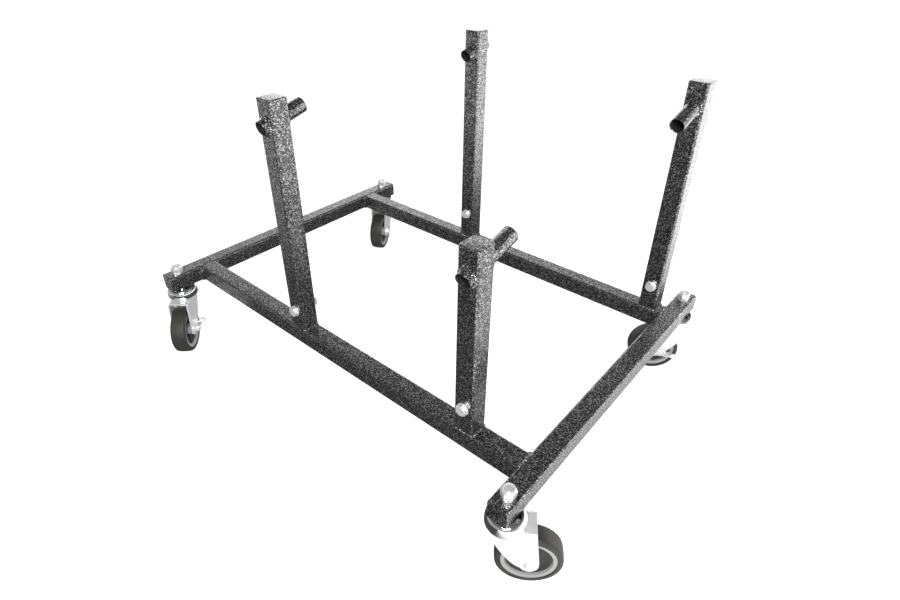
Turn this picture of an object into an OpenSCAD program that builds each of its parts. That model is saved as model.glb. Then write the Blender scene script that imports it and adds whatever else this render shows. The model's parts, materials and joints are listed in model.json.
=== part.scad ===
// Engine stand: a low welded frame of square tube on four swivel casters.
// Four bolted uprights of different heights each carry a tilted round sleeve.
// The left and right casters have a side brake lever on the axle.
// X runs along the rails, Y along the crossbars, Z up, with the floor at Z = 0.

/* [Frame] */
// Outside width of every square tube
tube = 35; // [32:1:38]
// Wall thickness of the square tubes
tube_wall = 2.5; // [2:0.5:3.5]
// Outside corner radius of the square tubes
tube_corner = 4.2; // [3:0.1:5]
// Length over the outer faces of both crossbars
frame_length = 920; // [860:10:1000]
// Length of each crossbar with its end caps
frame_width = 684; // [660:4:740]
// Near crossbar end to the near rail
near_rail_at = 73; // [65:1:90]
// Near crossbar end to the far rail
far_rail_at = 570; // [540:1:575]
// Thickness of every welded end cap
cap_t = 3; // [2:0.5:4]

/* [Uprights] */
// Rear face of the frame to the front upright, on the near rail
front_at = 766; // [700:1:800]
// Height of the front upright above the rail
front_h = 324; // [250:1:480]
// Rear face of the frame to the left upright, on the near rail
left_at = 364; // [200:1:500]
// Height of the left upright above the rail
left_h = 434; // [250:1:480]
// Rear face of the frame to the right upright, on the far rail
right_at = 841; // [700:1:845]
// Height of the right upright above the rail
right_h = 446; // [250:1:480]
// Rear face of the frame to the back upright, on the far rail
back_at = 377; // [200:1:500]
// Height of the back upright above the rail
back_h = 471; // [250:1:480]
// Height of the welded stub inside each upright
stub_h = 95; // [80:5:120]

/* [Sleeves] */
// Outside diameter of the sleeves
sleeve_d = 25.4; // [22:0.1:28]
// Wall thickness of the sleeves
sleeve_wall = 1.6; // [1.2:0.1:3]
// Rise of each sleeve towards the far side
sleeve_tilt = 15; // [0:1:20]
// Top of the upright down to the middle of its sleeve
sleeve_drop = 37.3; // [30:0.1:50]
// Long end of the front and right sleeves, from the upright's middle
sleeve_long = 79; // [60:1:100]
// Inner end of the left sleeve, from the upright's middle
sleeve_mid = 56; // [40:1:80]
// Inner end of the back sleeve, from the upright's middle
sleeve_short = 37; // [32:1:60]
// Outer end of every sleeve, from the upright's middle
sleeve_out = 28; // [26:1:40]

/* [Bolts] */
// Thread diameter of the bolts through the uprights
bolt_d = 10; // [8:1:12]
// Height of the front upright's bolt above the rail
front_bolt_z = 50; // [35:1:70]
// Height of the left upright's bolt above the rail
left_bolt_z = 41; // [35:1:70]
// Height of the right upright's bolt above the rail
right_bolt_z = 54; // [35:1:70]
// Height of the back upright's bolt above the rail
back_bolt_z = 62; // [35:1:70]

/* [Casters] */
// Diameter of the wheels
wheel_d = 103; // [90:0.1:104]
// Width of the tyres
tyre_w = 31.75; // [28:0.25:33]
// Floor to the underside of the crossbars
caster_h = 143; // [138:1:150]
// Distance of each axle behind its swivel axis
trail = 38; // [32:1:40]
// Near crossbar ends to the swivel axis
near_inset = 26; // [25:1:40]
// Far crossbar ends to the swivel axis
far_inset = 30; // [25:1:40]
// Thread diameter of the caster stems
stem_d = 14; // [12:1:16]
// Direction in which the front caster trails
front_turn = 34.4; // [0:0.1:360]
// Direction in which the left caster trails
left_turn = 314.5; // [0:0.1:360]
// Direction in which the right caster trails
right_turn = 210.8; // [0:0.1:360]
// Direction in which the back caster trails
back_turn = 297.8; // [0:0.1:360]
// Length of the two side brake levers, from the axle
lever_reach = 50; // [40:1:52]
// How far the side brake levers hang below level
lever_droop = 10; // [0:1:14]

/* [Hidden] */
$fn = 96;
eps = 0.01;

// Colours
black_paint = [0.09, 0.09, 0.09];
chrome = [0.86, 0.87, 0.89];
zinc = [0.80, 0.81, 0.83];
grey_rubber = [0.16, 0.16, 0.15];
light_grey = [0.70, 0.71, 0.72];
dark_plastic = [0.13, 0.14, 0.14];

// Frame
deck_z = caster_h + tube;
half_tube = tube / 2;
rail_y = [near_rail_at + half_tube, far_rail_at + half_tube];
weld_leg = 7;
end_weld = 33;

// Uprights: distance along X, middle across Y, height, bolt height
posts = [
    [front_at + half_tube, rail_y[0], front_h, front_bolt_z],
    [left_at + half_tube, rail_y[0], left_h, left_bolt_z],
    [right_at + half_tube, rail_y[1], right_h, right_bolt_z],
    [back_at + half_tube, rail_y[1], back_h, back_bolt_z]
];
foot_gap = 2.4;
stub_w = tube - 2 * tube_wall - 0.6;
stub_wall = 3;
stub_corner = 2.4;
foot_weld_w = tube + 2.4;

// Sleeves: ends along the axis, from the upright's middle
sleeve_r = sleeve_d / 2;
sleeve_bore_r = sleeve_r - sleeve_wall;
sleeve_ends = [
    [-sleeve_out, sleeve_long],
    [-sleeve_out, sleeve_mid],
    [-sleeve_long, sleeve_out],
    [-sleeve_short, sleeve_out]
];
collar_leg = 4;

// Bolts through the uprights
bolt_hole_r = bolt_d / 2 + 0.3;
washer_d = 2.1 * bolt_d;
washer_t = 1.6;
head_af = 1.7 * bolt_d;
head_t = 0.64 * bolt_d;
bolt_nut_t = 0.84 * bolt_d;
bolt_end = 3;
edge_chamfer = 1;

// Caster stems and their lock nuts
stem_r = stem_d / 2;
stem_hole_r = stem_r + 0.3;
lock_af = 1.5 * stem_d;
lock_hex_t = 13;
lock_collar_t = 2.4;
lock_collar_r = 0.44 * lock_af;
stem_top = 14.2;
kingpin_r = 6;
rivet_r = 9.5;
rivet_t = 5;

// Swivel head
cup_r = 31.5;
cup_mouth_r = 22.5;
cup_wall = 1.8;
cup_floor = caster_h - 12;
cup_skirt = caster_h - 19.7;
cup_boss_r = 14;
crown_z = caster_h - 20.5;
race_r = 23.6;
race_t = 3;
running = 0.06;
rivet_gap = 0.4;

// Fork
plate_t = 3;
fork_half = 21.2;
fork_back = 44.8;
fork_front = 24;
leg_end_r = 14.2;
leg_drop = crown_z - plate_t;
lip_w = 9;
lip_h = 7;
lip_at = -6;

// Wheel
wheel_r = wheel_d / 2;
tyre_bed_r = 41.8;
rim_in_r = 35.6;
rim_w = tyre_w - 3;
web_t = 7;
hub_r = 13;
hub_w = tyre_w + 2.4;
sleeve_axle_r = 6;
axle_r = 4;
axle_af = 13;
axle_head_t = 5.3;
axle_nut_t = 6.5;
axle_end = 2;
tread_crown = 1.2;
cover_depth = 4;
cover_t = 1.6;

// Side brake levers
lever_t = 2.5;
lever_gap = 0.3;
lever_eye_r = 10;
lever_tip_r = 4;
lever_steps = 16;
flange_t = 2.2;
flange_w = 15;
flange_from = 17;
flange_l = 27;

// Casters: swivel axis, direction of trail, and whether it has a side brake
stem_x = [half_tube, frame_length - half_tube];
stem_y = [near_inset, frame_width - far_inset];
casters = [
    [stem_x[1], stem_y[0], front_turn, 0],
    [stem_x[0], stem_y[0], left_turn, 1],
    [stem_x[1], stem_y[1], right_turn, 1],
    [stem_x[0], stem_y[1], back_turn, 0]
];

// The origin is the middle of the floor area that the stand covers
function heading(c) = [cos(c[2]), sin(c[2])];
function reach(c, k) = wheel_r * abs(heading(c)[k])
    + tyre_w / 2 * abs(heading(c)[1 - k]);
function low_side(c, k) = min(
    c[k] - cup_r,
    c[k] + trail * heading(c)[k] - reach(c, k)
);
function high_side(c, k) = max(
    c[k] + cup_r,
    c[k] + trail * heading(c)[k] + reach(c, k)
);
function middle(k) = (
    min([for (c = casters) low_side(c, k)])
    + max([for (c = casters) high_side(c, k)])
) / 2;
origin = [middle(0), middle(1), 0];

// Shared shapes

module rounded_square(width, corner) {
    inner = width - 2 * corner;
    square([width, inner], center = true);
    square([inner, width], center = true);
    for (x = [-1, 1], y = [-1, 1])
        translate([x * inner / 2, y * inner / 2])
            circle(corner);
}

module tube_section(width, wall, corner) {
    difference() {
        rounded_square(width, corner);
        rounded_square(width - 2 * wall, max(corner - wall, 1));
    }
}

module hex_prism(across_flats, height) {
    intersection() {
        cylinder(r = across_flats / sqrt(3), h = height, $fn = 6);
        cylinder(
            r1 = across_flats / sqrt(3),
            r2 = across_flats / sqrt(3) - edge_chamfer,
            h = height
        );
    }
}

module ring(outer_r, inner_r, height) {
    difference() {
        cylinder(r = outer_r, h = height);
        translate([0, 0, -eps])
            cylinder(r = inner_r, h = height + 2 * eps);
    }
}

module fillet_bar(leg, length) {
    linear_extrude(length)
        difference() {
            square(leg);
            translate([leg, leg])
                circle(0.92 * leg);
        }
}

// Places its children with the frame's rear near corner at the origin offset
module on_frame() {
    translate(-origin)
        children();
}

module at_post(p, z = 0) {
    translate([p[0], p[1], deck_z + z])
        children();
}

// Frame

module crossbar(x) {
    color(black_paint)
        on_frame()
            difference() {
                translate([x, cap_t, deck_z - half_tube])
                    rotate([-90, 0, 0])
                        linear_extrude(frame_width - 2 * cap_t)
                            tube_section(tube, tube_wall, tube_corner);
                for (y = stem_y)
                    translate([x, y, caster_h - 1])
                        cylinder(r = stem_hole_r, h = tube + 2);
            }
}

module rail(y) {
    color(black_paint)
        on_frame()
            translate([tube, y, deck_z - half_tube])
                rotate([0, 90, 0])
                    linear_extrude(frame_length - 2 * tube)
                        tube_section(tube, tube_wall, tube_corner);
}

module crossbar_caps() {
    color(black_paint)
        on_frame()
            for (x = stem_x, y = [0, frame_width - cap_t])
                translate([x, y, deck_z - half_tube])
                    rotate([-90, 0, 0])
                        linear_extrude(cap_t)
                            rounded_square(tube, tube_corner);
}

module frame_welds() {
    color(black_paint)
        on_frame()
            for (y = rail_y, end = [0, 1], side = [0, 1])
                translate([
                    end == 0 ? tube : frame_length - tube,
                    side == 0 ? y - half_tube : y + half_tube,
                    deck_z - half_tube - end_weld / 2
                ])
                    mirror([end, 0, 0])
                        mirror([0, 1 - side, 0])
                            fillet_bar(weld_leg, end_weld);
}

// Uprights

module stub(p) {
    color(black_paint)
        on_frame()
            at_post(p)
                difference() {
                    linear_extrude(stub_h)
                        tube_section(stub_w, stub_wall, stub_corner);
                    bolt_hole(p);
                }
}

module bolt_hole(p) {
    translate([0, 0, p[3]])
        rotate([90, 0, 0])
            cylinder(r = bolt_hole_r, h = 2 * tube, center = true);
}

module upright(p) {
    color(black_paint)
        on_frame()
            at_post(p)
                difference() {
                    translate([0, 0, foot_gap])
                        linear_extrude(p[2] - cap_t - foot_gap)
                            tube_section(tube, tube_wall, tube_corner);
                    bolt_hole(p);
                    sleeve_axis(p)
                        cylinder(r = sleeve_r, h = 3 * tube, center = true);
                }
}

module upright_caps() {
    color(black_paint)
        on_frame()
            for (p = posts)
                at_post(p, p[2] - cap_t)
                    linear_extrude(cap_t)
                        rounded_square(tube, tube_corner);
}

module foot_welds() {
    color(black_paint)
        on_frame()
            for (p = posts)
                at_post(p)
                    linear_extrude(foot_gap)
                        difference() {
                            rounded_square(foot_weld_w, tube_corner);
                            rounded_square(stub_w, stub_corner);
                        }
}

// Sleeves

// Turns +Z along the sleeve of an upright, with the origin at its middle
module sleeve_axis(p) {
    translate([0, 0, p[2] - sleeve_drop])
        rotate([sleeve_tilt - 90, 0, 0])
            children();
}

module sleeve(p, ends) {
    color(black_paint)
        on_frame()
            at_post(p)
                sleeve_axis(p)
                    translate([0, 0, ends[0]])
                        ring(sleeve_r, sleeve_bore_r, ends[1] - ends[0]);
}

module sleeve_collar(side) {
    collar_in = sleeve_r - 1;
    collar_out = sleeve_r + collar_leg;
    translate([0, side * half_tube, side * half_tube * tan(sleeve_tilt)])
        rotate([-side * 90, 0, 0])
            rotate_extrude()
                polygon([
                    [collar_in, 0],
                    [collar_out, 0],
                    [collar_out - 0.8, 1.6],
                    [sleeve_r + 1.2, collar_leg],
                    [collar_in, collar_leg]
                ]);
}

module sleeve_welds() {
    color(black_paint)
        on_frame()
            for (p = posts, side = [-1, 1])
                at_post(p)
                    difference() {
                        translate([0, 0, p[2] - sleeve_drop])
                            sleeve_collar(side);
                        sleeve_axis(p)
                            cylinder(r = sleeve_r, h = 3 * tube, center = true);
                    }
}

// Bolts through the uprights, with the head on the near side

module at_bolt(p, y) {
    at_post(p, p[3])
        translate([0, y, 0])
            rotate([-90, 0, 0])
                children();
}

module upright_bolts() {
    seat = -half_tube - washer_t;
    shank = tube + 2 * washer_t + bolt_nut_t + bolt_end;
    color(zinc)
        on_frame()
            for (p = posts) {
                at_bolt(p, seat)
                    cylinder(d = bolt_d, h = shank);
                at_bolt(p, seat)
                    mirror([0, 0, 1])
                        hex_prism(head_af, head_t);
            }
}

module upright_washers() {
    color(zinc)
        on_frame()
            for (p = posts, y = [-half_tube - washer_t, half_tube])
                at_bolt(p, y)
                    ring(washer_d / 2, bolt_d / 2, washer_t);
}

module upright_nuts() {
    color(zinc)
        on_frame()
            for (p = posts)
                at_bolt(p, half_tube + washer_t)
                    difference() {
                        hex_prism(head_af, bolt_nut_t);
                        translate([0, 0, -eps])
                            cylinder(d = bolt_d, h = bolt_nut_t + 2 * eps);
                    }
}

// Caster stems, lock nuts and fixed cups

module at_stem(c, z = 0) {
    translate([c[0], c[1], z])
        children();
}

module caster_stems() {
    neck_z = crown_z - plate_t - rivet_gap;
    color(zinc)
        on_frame()
            for (c = casters)
                at_stem(c) {
                    translate([0, 0, crown_z + race_t + 1])
                        cylinder(
                            r = stem_r,
                            h = deck_z + stem_top - crown_z - race_t - 1
                        );
                    translate([0, 0, neck_z - eps])
                        cylinder(r = kingpin_r, h = 2 * race_t + plate_t);
                    translate([0, 0, neck_z - rivet_t])
                        cylinder(r1 = rivet_r - 2, r2 = rivet_r, h = rivet_t);
                }
}

module stem_nuts() {
    color(zinc)
        on_frame()
            for (c = casters)
                at_stem(c, deck_z)
                    difference() {
                        union() {
                            hex_prism(lock_af, lock_hex_t);
                            cylinder(
                                r = lock_collar_r,
                                h = lock_hex_t + lock_collar_t
                            );
                        }
                        translate([0, 0, -eps])
                            cylinder(r = stem_r, h = 2 * lock_hex_t);
                    }
}

module caster_cups() {
    color(chrome)
        on_frame()
            for (c = casters)
                at_stem(c)
                    rotate_extrude()
                        polygon([
                            [stem_r, cup_floor - cup_wall],
                            [cup_mouth_r - 1, cup_floor - cup_wall],
                            [cup_mouth_r + 1.2, cup_floor + 0.6],
                            [cup_mouth_r + 1.8, caster_h - 4.4],
                            [cup_mouth_r + 3.4, caster_h - 3.8],
                            [cup_r - 4.2, caster_h - 5.6],
                            [cup_r - 2.5, caster_h - 9],
                            [cup_r - cup_wall, caster_h - 12.6],
                            [cup_r - cup_wall, cup_skirt],
                            [cup_r - 0.1, cup_skirt],
                            [cup_r, caster_h - 17],
                            [cup_r - 0.3, caster_h - 12],
                            [cup_r - 1.3, caster_h - 7.5],
                            [cup_r - 3.1, caster_h - 4],
                            [cup_r - 5.5, caster_h - 1.7],
                            [cup_mouth_r + 1.5, caster_h - 0.8],
                            [cup_mouth_r, caster_h - 1],
                            [cup_mouth_r - 0.5, cup_floor + 3],
                            [cup_mouth_r - 2, cup_floor],
                            [cup_boss_r, cup_floor],
                            [cup_boss_r, caster_h],
                            [stem_r, caster_h]
                        ]);
}

// Forks, axles and wheels: X trails, Y runs along the axle

module at_caster(c) {
    on_frame()
        translate([c[0], c[1], 0])
            rotate([0, 0, c[2]])
                children();
}

module at_axle(y) {
    translate([trail, y, wheel_r])
        rotate([-90, 0, 0])
            children();
}

// The leading edge of a leg sweeps down to the axle in a hollow curve
function leg_edge(s) = [
    28 - 46 * s,
    wheel_r - 7 + 57.8 * pow(s, 1.63)
];

module leg_outline() {
    edge = [for (i = [0:12]) leg_edge(i / 12)];
    polygon(concat(
        edge,
        [
            [-fork_front, leg_drop],
            [-fork_front, crown_z - 1],
            [fork_back - 1, crown_z - 1],
            [fork_back, leg_drop],
            [trail + leg_end_r - 0.3, wheel_r + 8],
            [trail + leg_end_r, wheel_r],
            [trail, wheel_r - leg_end_r / 2]
        ]
    ));
    translate([trail, wheel_r])
        circle(leg_end_r);
}

module leg(side) {
    y = side < 0 ? -fork_half : fork_half - plate_t;
    translate([0, y + plate_t, 0])
        rotate([90, 0, 0])
            linear_extrude(plate_t)
                leg_outline();
}

module crown() {
    translate([0, 0, crown_z - plate_t])
        linear_extrude(plate_t) {
            translate([-fork_front, -fork_half + 1])
                square([fork_front + fork_back, 2 * fork_half - 2]);
            circle(fork_front);
        }
    translate([0, 0, crown_z - plate_t])
        cylinder(r1 = fork_front, r2 = race_r + 1, h = plate_t);
    translate([0, 0, crown_z - eps])
        cylinder(r1 = race_r, r2 = race_r - 1.6, h = race_t + eps);
}

// Small stiffening lip under the trailing edge of the crown
module crown_lip() {
    translate([fork_back - plate_t, lip_at, crown_z - plate_t + eps])
        rotate([90, 0, 90])
            linear_extrude(plate_t - 1)
                polygon([[-lip_w / 2, 0], [lip_w / 2, 0], [1, -lip_h], [-1, -lip_h]]);
}

module fork(c) {
    color(chrome)
        at_caster(c)
            difference() {
                union() {
                    crown();
                    crown_lip();
                    leg(-1);
                    leg(1);
                }
                translate([0, 0, crown_z - plate_t - 1])
                    cylinder(r = kingpin_r + running, h = 3 * race_t);
                at_axle(-2 * fork_half)
                    cylinder(r = axle_r, h = 4 * fork_half);
            }
}

// The axle nut seats on the leg, or beyond the brake lever where there is one
function seat(c) = fork_half + c[3] * (lever_t + 2 * lever_gap);

module axle(c) {
    shank = fork_half + seat(c) + axle_nut_t + axle_end;
    color(zinc)
        at_caster(c) {
            at_axle(-fork_half)
                cylinder(r = axle_r, h = shank);
            at_axle(-fork_half)
                mirror([0, 0, 1])
                    hex_prism(axle_af, axle_head_t);
        }
}

module axle_nut(c) {
    color(zinc)
        at_caster(c)
            at_axle(seat(c))
                difference() {
                    hex_prism(axle_af, axle_nut_t);
                    translate([0, 0, -eps])
                        cylinder(r = axle_r, h = axle_nut_t + 2 * eps);
                }
}

module spacer(c) {
    inner = fork_half - plate_t;
    color(zinc)
        at_caster(c)
            at_axle(-inner)
                ring(sleeve_axle_r, axle_r, 2 * inner);
}

// Eye round the axle and an arm that tapers to a round tip
module lever_outline() {
    span = lever_reach - lever_tip_r;
    lean = acos((lever_eye_r - lever_tip_r) / span);
    polygon(concat(
        [for (i = [0:lever_steps])
            arc_point(0, lever_eye_r, lean + 2 * (180 - lean) * i / lever_steps)],
        [for (i = [0:lever_steps])
            arc_point(span, lever_tip_r, lean * (2 * i / lever_steps - 1))]
    ));
}

function arc_point(x, r, angle) = [x + r * cos(angle), r * sin(angle)];

// Foot pad, bent outwards along the arm's upper edge
module lever_flange() {
    lean = acos((lever_eye_r - lever_tip_r) / (lever_reach - lever_tip_r));
    rotate([0, 0, lean - 90])
        translate([flange_from, lever_eye_r - 0.3, 0])
            rotate([90, 0, 0])
                linear_extrude(flange_t)
                    polygon([
                        [0, 0.4],
                        [flange_l, 0.4],
                        [flange_l - 2, flange_w - 5],
                        [flange_l - 7, flange_w],
                        [5, flange_w],
                        [1, flange_w - 4]
                    ]);
}

module brake(c) {
    color(zinc)
        at_caster(c)
            at_axle(fork_half + lever_gap)
                rotate([0, 0, 180 - lever_droop])
                    difference() {
                        union() {
                            linear_extrude(lever_t)
                                lever_outline();
                            lever_flange();
                        }
                        translate([0, 0, -1])
                            cylinder(r = axle_r + running, h = lever_t + 2);
                    }
}

module hub(c) {
    bore_r = sleeve_axle_r + running;
    color(light_grey)
        at_caster(c)
            at_axle(0)
                rotate_extrude()
                    polygon([
                        [bore_r, -hub_w / 2],
                        [hub_r - 1, -hub_w / 2],
                        [hub_r, -web_t],
                        [hub_r + 1, -web_t / 2],
                        [rim_in_r - 2, -web_t / 2],
                        [rim_in_r, -rim_w / 2 + 1],
                        [rim_in_r + 0.8, -rim_w / 2],
                        [tyre_bed_r, -rim_w / 2],
                        [tyre_bed_r, rim_w / 2],
                        [rim_in_r + 0.8, rim_w / 2],
                        [rim_in_r, rim_w / 2 - 1],
                        [rim_in_r - 2, web_t / 2],
                        [hub_r + 1, web_t / 2],
                        [hub_r, web_t],
                        [hub_r - 1, hub_w / 2],
                        [bore_r, hub_w / 2]
                    ]);
}

// A dished dust cover on each side of the wheel
module covers(c) {
    rim_z = rim_w / 2 - cover_depth;
    color(dark_plastic)
        at_caster(c)
            at_axle(0)
                for (side = [0, 1])
                    mirror([0, 0, side])
                        rotate_extrude()
                            polygon([
                                [hub_r + 1.2, web_t / 2 + 0.1],
                                [hub_r + 4, web_t / 2 + 0.1],
                                [rim_in_r - 1.6, rim_z - cover_t],
                                [rim_in_r - 1.2, rim_z],
                                [hub_r + 3, web_t / 2 + cover_t + 1.4],
                                [hub_r + 1.2, web_t / 2 + cover_t + 2.4]
                            ]);
}

module tyre(c) {
    half = tyre_w / 2;
    color(grey_rubber)
        at_caster(c)
            at_axle(0)
                rotate_extrude()
                    polygon(concat(
                        [[tyre_bed_r, -rim_w / 2], [tyre_bed_r, rim_w / 2]],
                        [for (i = [0:28]) tread_point(half, 1 - i / 14)]
                    ));
}

// A point of the tyre's outer profile, from one bead (s = 1) to the other (s = -1)
function tread_point(half, s) = [
    wheel_r - tread_crown * s * s
        - (wheel_r - tyre_bed_r - 2.2) * pow(abs(s), 9),
    half * sign(s) * (1 - pow(1 - abs(s), 1.35))
];

crossbar(stem_x[1]);  // crossbar_front
crossbar(stem_x[0]);  // crossbar_rear
rail(rail_y[0]);  // rail_near
rail(rail_y[1]);  // rail_far
crossbar_caps();
frame_welds();
stub(posts[0]);  // stub_front
stub(posts[1]);  // stub_left
stub(posts[2]);  // stub_right
stub(posts[3]);  // stub_back
upright(posts[0]);  // upright_front
upright(posts[1]);  // upright_left
upright(posts[2]);  // upright_right
upright(posts[3]);  // upright_back
upright_caps();
foot_welds();
sleeve(posts[0], sleeve_ends[0]);  // sleeve_front
sleeve(posts[1], sleeve_ends[1]);  // sleeve_left
sleeve(posts[2], sleeve_ends[2]);  // sleeve_right
sleeve(posts[3], sleeve_ends[3]);  // sleeve_back
sleeve_welds();
upright_bolts();
upright_washers();
upright_nuts();
caster_stems();
stem_nuts();
caster_cups();
fork(casters[0]);  // fork_front
fork(casters[1]);  // fork_left
fork(casters[2]);  // fork_right
fork(casters[3]);  // fork_back
axle(casters[0]);  // axle_front
axle(casters[1]);  // axle_left
axle(casters[2]);  // axle_right
axle(casters[3]);  // axle_back
axle_nut(casters[0]);  // axle_nut_front
axle_nut(casters[1]);  // axle_nut_left
axle_nut(casters[2]);  // axle_nut_right
axle_nut(casters[3]);  // axle_nut_back
spacer(casters[0]);  // spacer_front
spacer(casters[1]);  // spacer_left
spacer(casters[2]);  // spacer_right
spacer(casters[3]);  // spacer_back
brake(casters[1]);  // brake_left
brake(casters[2]);  // brake_right
hub(casters[0]);  // hub_front
hub(casters[1]);  // hub_left
hub(casters[2]);  // hub_right
hub(casters[3]);  // hub_back
covers(casters[0]);  // covers_front
covers(casters[1]);  // covers_left
covers(casters[2]);  // covers_right
covers(casters[3]);  // covers_back
tyre(casters[0]);  // tyre_front
tyre(casters[1]);  // tyre_left
tyre(casters[2]);  // tyre_right
tyre(casters[3]);  // tyre_back
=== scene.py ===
"""Engine stand: tubes, welds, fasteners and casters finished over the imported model."""

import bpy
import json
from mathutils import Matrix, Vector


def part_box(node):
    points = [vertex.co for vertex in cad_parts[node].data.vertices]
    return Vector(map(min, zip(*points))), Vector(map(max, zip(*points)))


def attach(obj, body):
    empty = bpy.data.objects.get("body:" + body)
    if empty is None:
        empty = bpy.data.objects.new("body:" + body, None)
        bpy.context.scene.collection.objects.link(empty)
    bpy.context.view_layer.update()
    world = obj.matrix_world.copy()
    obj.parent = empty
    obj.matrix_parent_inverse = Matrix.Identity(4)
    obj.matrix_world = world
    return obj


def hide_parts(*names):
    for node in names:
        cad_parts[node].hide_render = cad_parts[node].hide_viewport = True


bl_info = {
    "name": "Engine Stand",
    "version": (1, 0, 0),
    "blender": (4, 5, 0),
    "location": "View3D > Sidebar > Engine Stand",
    "description": "Builds the finished surfaces of a rolling engine stand",
    "category": "Object",
}

import json
import math
from functools import cache

import bmesh
import bpy
from bpy.props import FloatProperty, FloatVectorProperty, PointerProperty
from mathutils import Matrix, Vector

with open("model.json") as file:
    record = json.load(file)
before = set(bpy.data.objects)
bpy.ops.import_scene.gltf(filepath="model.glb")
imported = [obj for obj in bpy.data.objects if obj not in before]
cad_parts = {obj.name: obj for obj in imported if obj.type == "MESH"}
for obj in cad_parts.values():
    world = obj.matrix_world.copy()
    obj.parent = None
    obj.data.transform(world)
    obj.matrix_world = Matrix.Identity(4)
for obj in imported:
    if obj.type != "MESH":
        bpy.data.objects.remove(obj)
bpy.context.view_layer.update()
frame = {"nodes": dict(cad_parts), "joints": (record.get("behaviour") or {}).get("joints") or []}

MM = 0.001
CORNERS = ("front", "left", "right", "back")
TUBE = 35 * MM
TUBE_CORNER = 4.2 * MM
CAP_T = 3 * MM
SLEEVE_TILT = math.radians(15)
SLEEVE_DROP = 37.3 * MM
SLEEVE_R = 12.7 * MM
SLEEVE_WALL = 1.6 * MM


# Places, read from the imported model


def bolt_height(x, y, reach=50 * MM):
    """Height of the bolt through the upright that stands at (x, y)."""
    spots = [v.co for v in frame["nodes"]["upright_bolts"].data.vertices]
    heights = [p.z for p in spots if math.hypot(p.x - x, p.y - y) < reach]
    return (min(heights) + max(heights)) / 2


def find_posts():
    """For each upright: its middle, the top of its cap and the height of its bolt."""
    found = {}
    for name in CORNERS:
        low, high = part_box("upright_" + name)
        x, y = (low.x + high.x) / 2, (low.y + high.y) / 2
        found[name] = {"x": x, "y": y, "top": high.z + CAP_T, "bolt": bolt_height(x, y)}
    return found


def joint_place(name):
    return Vector(next(j for j in frame["joints"] if j["name"] == name)["pos_m"])


def find_casters():
    """For each caster: swivel axis, axle and a matrix from its own space, where X trails."""
    found = {}
    for name in CORNERS:
        stem = joint_place("swivel_" + name)
        axle = joint_place("roll_" + name)
        turn = math.atan2(axle.y - stem.y, axle.x - stem.x)
        found[name] = {
            "x": stem.x,
            "y": stem.y,
            "trail": math.hypot(axle.x - stem.x, axle.y - stem.y),
            "axle_z": axle.z,
            "place": Matrix.Translation((stem.x, stem.y, 0)) @ Matrix.Rotation(turn, 4, "Z"),
            "brake": "brake_" + name in frame["nodes"],
        }
    return found


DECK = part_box("rail_near")[1].z
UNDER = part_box("rail_near")[0].z
POSTS = find_posts()
CASTERS = find_casters()
CROWN = UNDER - 20.5 * MM
FORK_HALF = 21.2 * MM
PLATE = 3 * MM


# Sizes and colours


def length(name, description, value, low, high):
    return FloatProperty(
        name=name,
        description=description,
        default=value,
        min=low,
        max=high,
        unit="LENGTH",
        precision=4,
    )


def colour(name, description, value):
    return FloatVectorProperty(
        name=name,
        description=description,
        default=value,
        min=0,
        max=1,
        size=3,
        subtype="COLOR",
    )


class StandSizes(bpy.types.PropertyGroup):
    foot_bead: length(
        "Foot bead", "Radius of the weld at each upright's foot", 0.0024, 0.001, 0.006
    )
    corner_bead: length(
        "Corner bead", "Radius of the weld in each frame corner", 0.0056, 0.002, 0.009
    )
    collar_bead: length(
        "Collar bead", "Radius of the weld round each sleeve", 0.0022, 0.001, 0.006
    )
    ripple: length("Ripple", "Distance between the ripples of a weld", 0.0026, 0.001, 0.006)
    cap_edge: length("Cap edge", "Rounding of the ground end caps", 0.0016, 0.0002, 0.003)
    lip: length("Sleeve lip", "Rounding of the sleeve ends", 0.0005, 0.0001, 0.0008)
    bend: length("Fork bend", "Outside radius of the fork's bends", 0.0052, 0.0035, 0.009)
    thread: length("Thread", "Pitch of the visible threads", 0.0015, 0.0008, 0.003)
    flake: length("Hammer mark", "Size of the marks in the hammered paint", 0.0022, 0.001, 0.006)


class StandColours(bpy.types.PropertyGroup):
    paint_dark: colour(
        "Paint ground", "Dark ground of the hammered paint", (0.006, 0.006, 0.006)
    )
    paint_vein: colour("Paint vein", "Silver vein of the hammered paint", (0.80, 0.80, 0.79))
    chrome: colour("Chrome", "Plated cups", (0.86, 0.87, 0.89))
    satin: colour("Satin plate", "Plated pressed forks", (0.93, 0.93, 0.93))
    zinc: colour("Zinc", "Plated fasteners", (0.90, 0.90, 0.90))
    nylon: colour("Nylon", "Locking rings of the stem nuts", (0.62, 0.63, 0.62))
    rubber: colour("Tyre", "Grey rubber tread", (0.022, 0.020, 0.016))
    rim: colour("Rim", "Light rim of the wheels", (0.30, 0.31, 0.31))
    # The near-black cover colour also paints the shade in the wheel's recess.
    cover: colour("Cover", "Dark dust covers", (0.012, 0.013, 0.011))
    floor: colour("Floor", "Plain pale floor", (0.86, 0.86, 0.86))


def tones():
    return bpy.context.scene.stand_colours


# Plain expressions on sockets


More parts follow.
